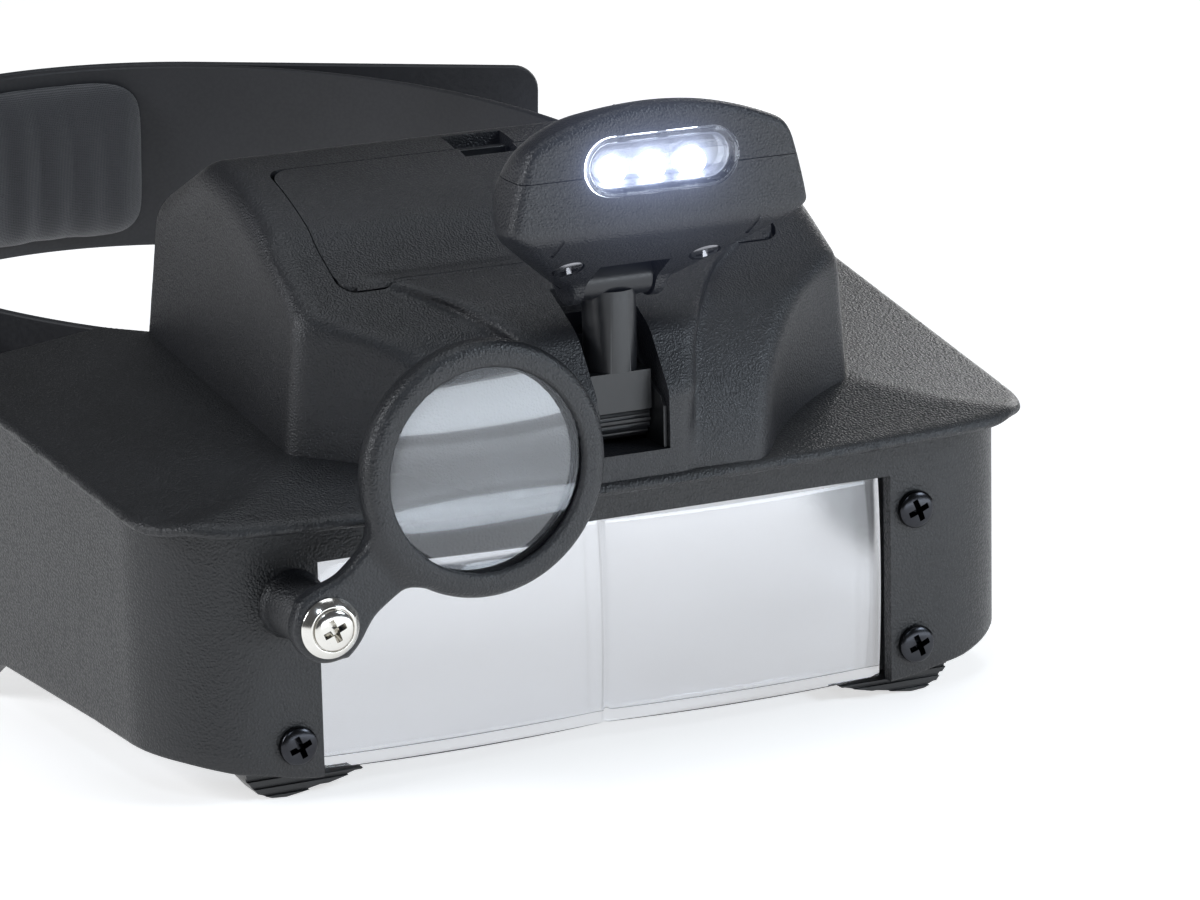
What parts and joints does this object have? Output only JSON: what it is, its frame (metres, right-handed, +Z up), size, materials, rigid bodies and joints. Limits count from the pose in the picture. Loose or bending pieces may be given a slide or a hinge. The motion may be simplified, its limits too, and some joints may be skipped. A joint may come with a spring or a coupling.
{
  "type": "lighted head visor magnifier",
  "caption": "Head-worn visor magnifier with a two-eye lens, a flip-in lens, a swinging loupe, a tilting lamp and an adjustable padded head ring.",
  "frame": {"origin": "middle of the whole part's box at the surface it stands on", "axes": "+Y from the visor's window back to the rear of the head ring, +X to the loupe-free side, +Z up"},
  "size_m": [0.186, 0.2904, 0.1124],
  "materials": {
    "visor_plastic": "fine-grain textured, near black",
    "inner_plastic": "smooth satin, black",
    "cell_jacket": "printed-free sleeve over a steel can",
    "nickel": "plated spring steel",
    "lead_jacket": "soft insulation",
    "black_screw": "glossy black",
    "clear_lens": "clear acrylic",
    "steel": "plain",
    "loupe_plastic": "fine-grain textured",
    "bright_nickel": "bright nickel plate",
    "lamp_plastic": "smooth satin black",
    "lamp_clear": "clear, lit from behind",
    "reflector": "bright moulded dish",
    "led_body": "clear dome, lit",
    "board": "bare circuit board",
    "band_plastic": "smooth, dark blue-grey",
    "hook_fabric": "hook-and-loop tape",
    "pad_fabric": "soft foam with a cloth face"
  },
  "bodies": {
    "visor": {"visor_shell": "visor_plastic", "battery_housing": "visor_plastic", "battery_tray": "inner_plastic", "battery_cells": "cell_jacket", "contact_springs": "nickel", "contact_plates": "nickel", "battery_leads": "lead_jacket", "housing_screws": "black_screw", "main_lens": "clear_lens", "lens_frame": "inner_plastic", "frame_screws": "black_screw", "flip_hinge_pins": "steel", "lamp_bracket": "inner_plastic", "lamp_base_pin": "steel", "loupe_post": "loupe_plastic", "loupe_washer": "bright_nickel", "loupe_screw": "bright_nickel"},
    "cover": {"battery_cover": "visor_plastic", "cover_latch": "inner_plastic"},
    "arm": {"lamp_arm": "lamp_plastic"},
    "lamp": {"lamp_lower_shell": "lamp_plastic", "lamp_upper_shell": "lamp_plastic", "lamp_window": "lamp_clear", "lamp_reflector": "reflector", "lamp_leds": "led_body", "lamp_board": "board", "lamp_head_pin": "steel", "lamp_screws": "steel"},
    "switch": {"lamp_switch": "inner_plastic"},
    "loupe": {"loupe_arm": "loupe_plastic", "loupe_lens": "clear_lens", "loupe_retainer": "loupe_plastic"},
    "flip_in_lens": {"flip_frame": "inner_plastic", "flip_lens": "clear_lens"},
    "head_ring": {"head_band": "band_plastic", "left_strap": "band_plastic", "right_strap": "band_plastic", "strap_rivets": "black_screw", "hook_patch": "hook_fabric", "brow_pad": "pad_fabric", "nape_pad": "pad_fabric", "pivot_bolts": "steel", "pivot_washers": "steel"},
    "knob_left": {"left_knob": "lamp_plastic"},
    "knob_right": {"right_knob": "lamp_plastic"}
  },
  "joints": [
    {"name": "head_ring_tilt", "type": "hinge", "parent": "visor", "child": "head_ring", "pos_m": [-0.00157, 0.00428, 0.053], "axis": [1, 0, 0], "range_deg": [0, 75]},
    {"name": "flip_in_lens_swing", "type": "hinge", "parent": "visor", "child": "flip_in_lens", "pos_m": [-0.00157, -0.11382, 0.0442], "axis": [1, 0, 0], "range_deg": [0, 80]},
    {"name": "loupe_swing", "type": "hinge", "parent": "visor", "child": "loupe", "pos_m": [-0.05817, -0.13572, 0.0332], "axis": [0, -1, 0], "range_deg": [-55, 100]},
    {"name": "lamp_arm_tilt", "type": "hinge", "parent": "visor", "child": "arm", "pos_m": [-0.00157, -0.12462, 0.0568], "axis": [1, 0, 0], "range_deg": [-5, 45]},
    {"name": "lamp_head_tilt", "type": "hinge", "parent": "arm", "child": "lamp", "pos_m": [-0.00157, -0.12532, 0.0805], "axis": [1, 0, 0], "range_deg": [-15, 25]},
    {"name": "lamp_switch_slide", "type": "slide", "parent": "lamp", "child": "switch", "axis": [1, 0, 0], "range_m": [0, 0.004]},
    {"name": "battery_cover_lift", "type": "hinge", "parent": "visor", "child": "cover", "pos_m": [-0.00157, -0.10777, 0.0792], "axis": [1, 0, 0], "range_deg": [0, 60]},
    {"name": "left_knob_turn", "type": "hinge", "parent": "head_ring", "child": "knob_left", "pos_m": [-0.08757, 0.00428, 0.053], "axis": [-1, 0, 0], "range_deg": [0, 180]},
    {"name": "right_knob_turn", "type": "hinge", "parent": "head_ring", "child": "knob_right", "pos_m": [0.08443, 0.00428, 0.053], "axis": [1, 0, 0], "range_deg": [0, 180]}
  ]
}
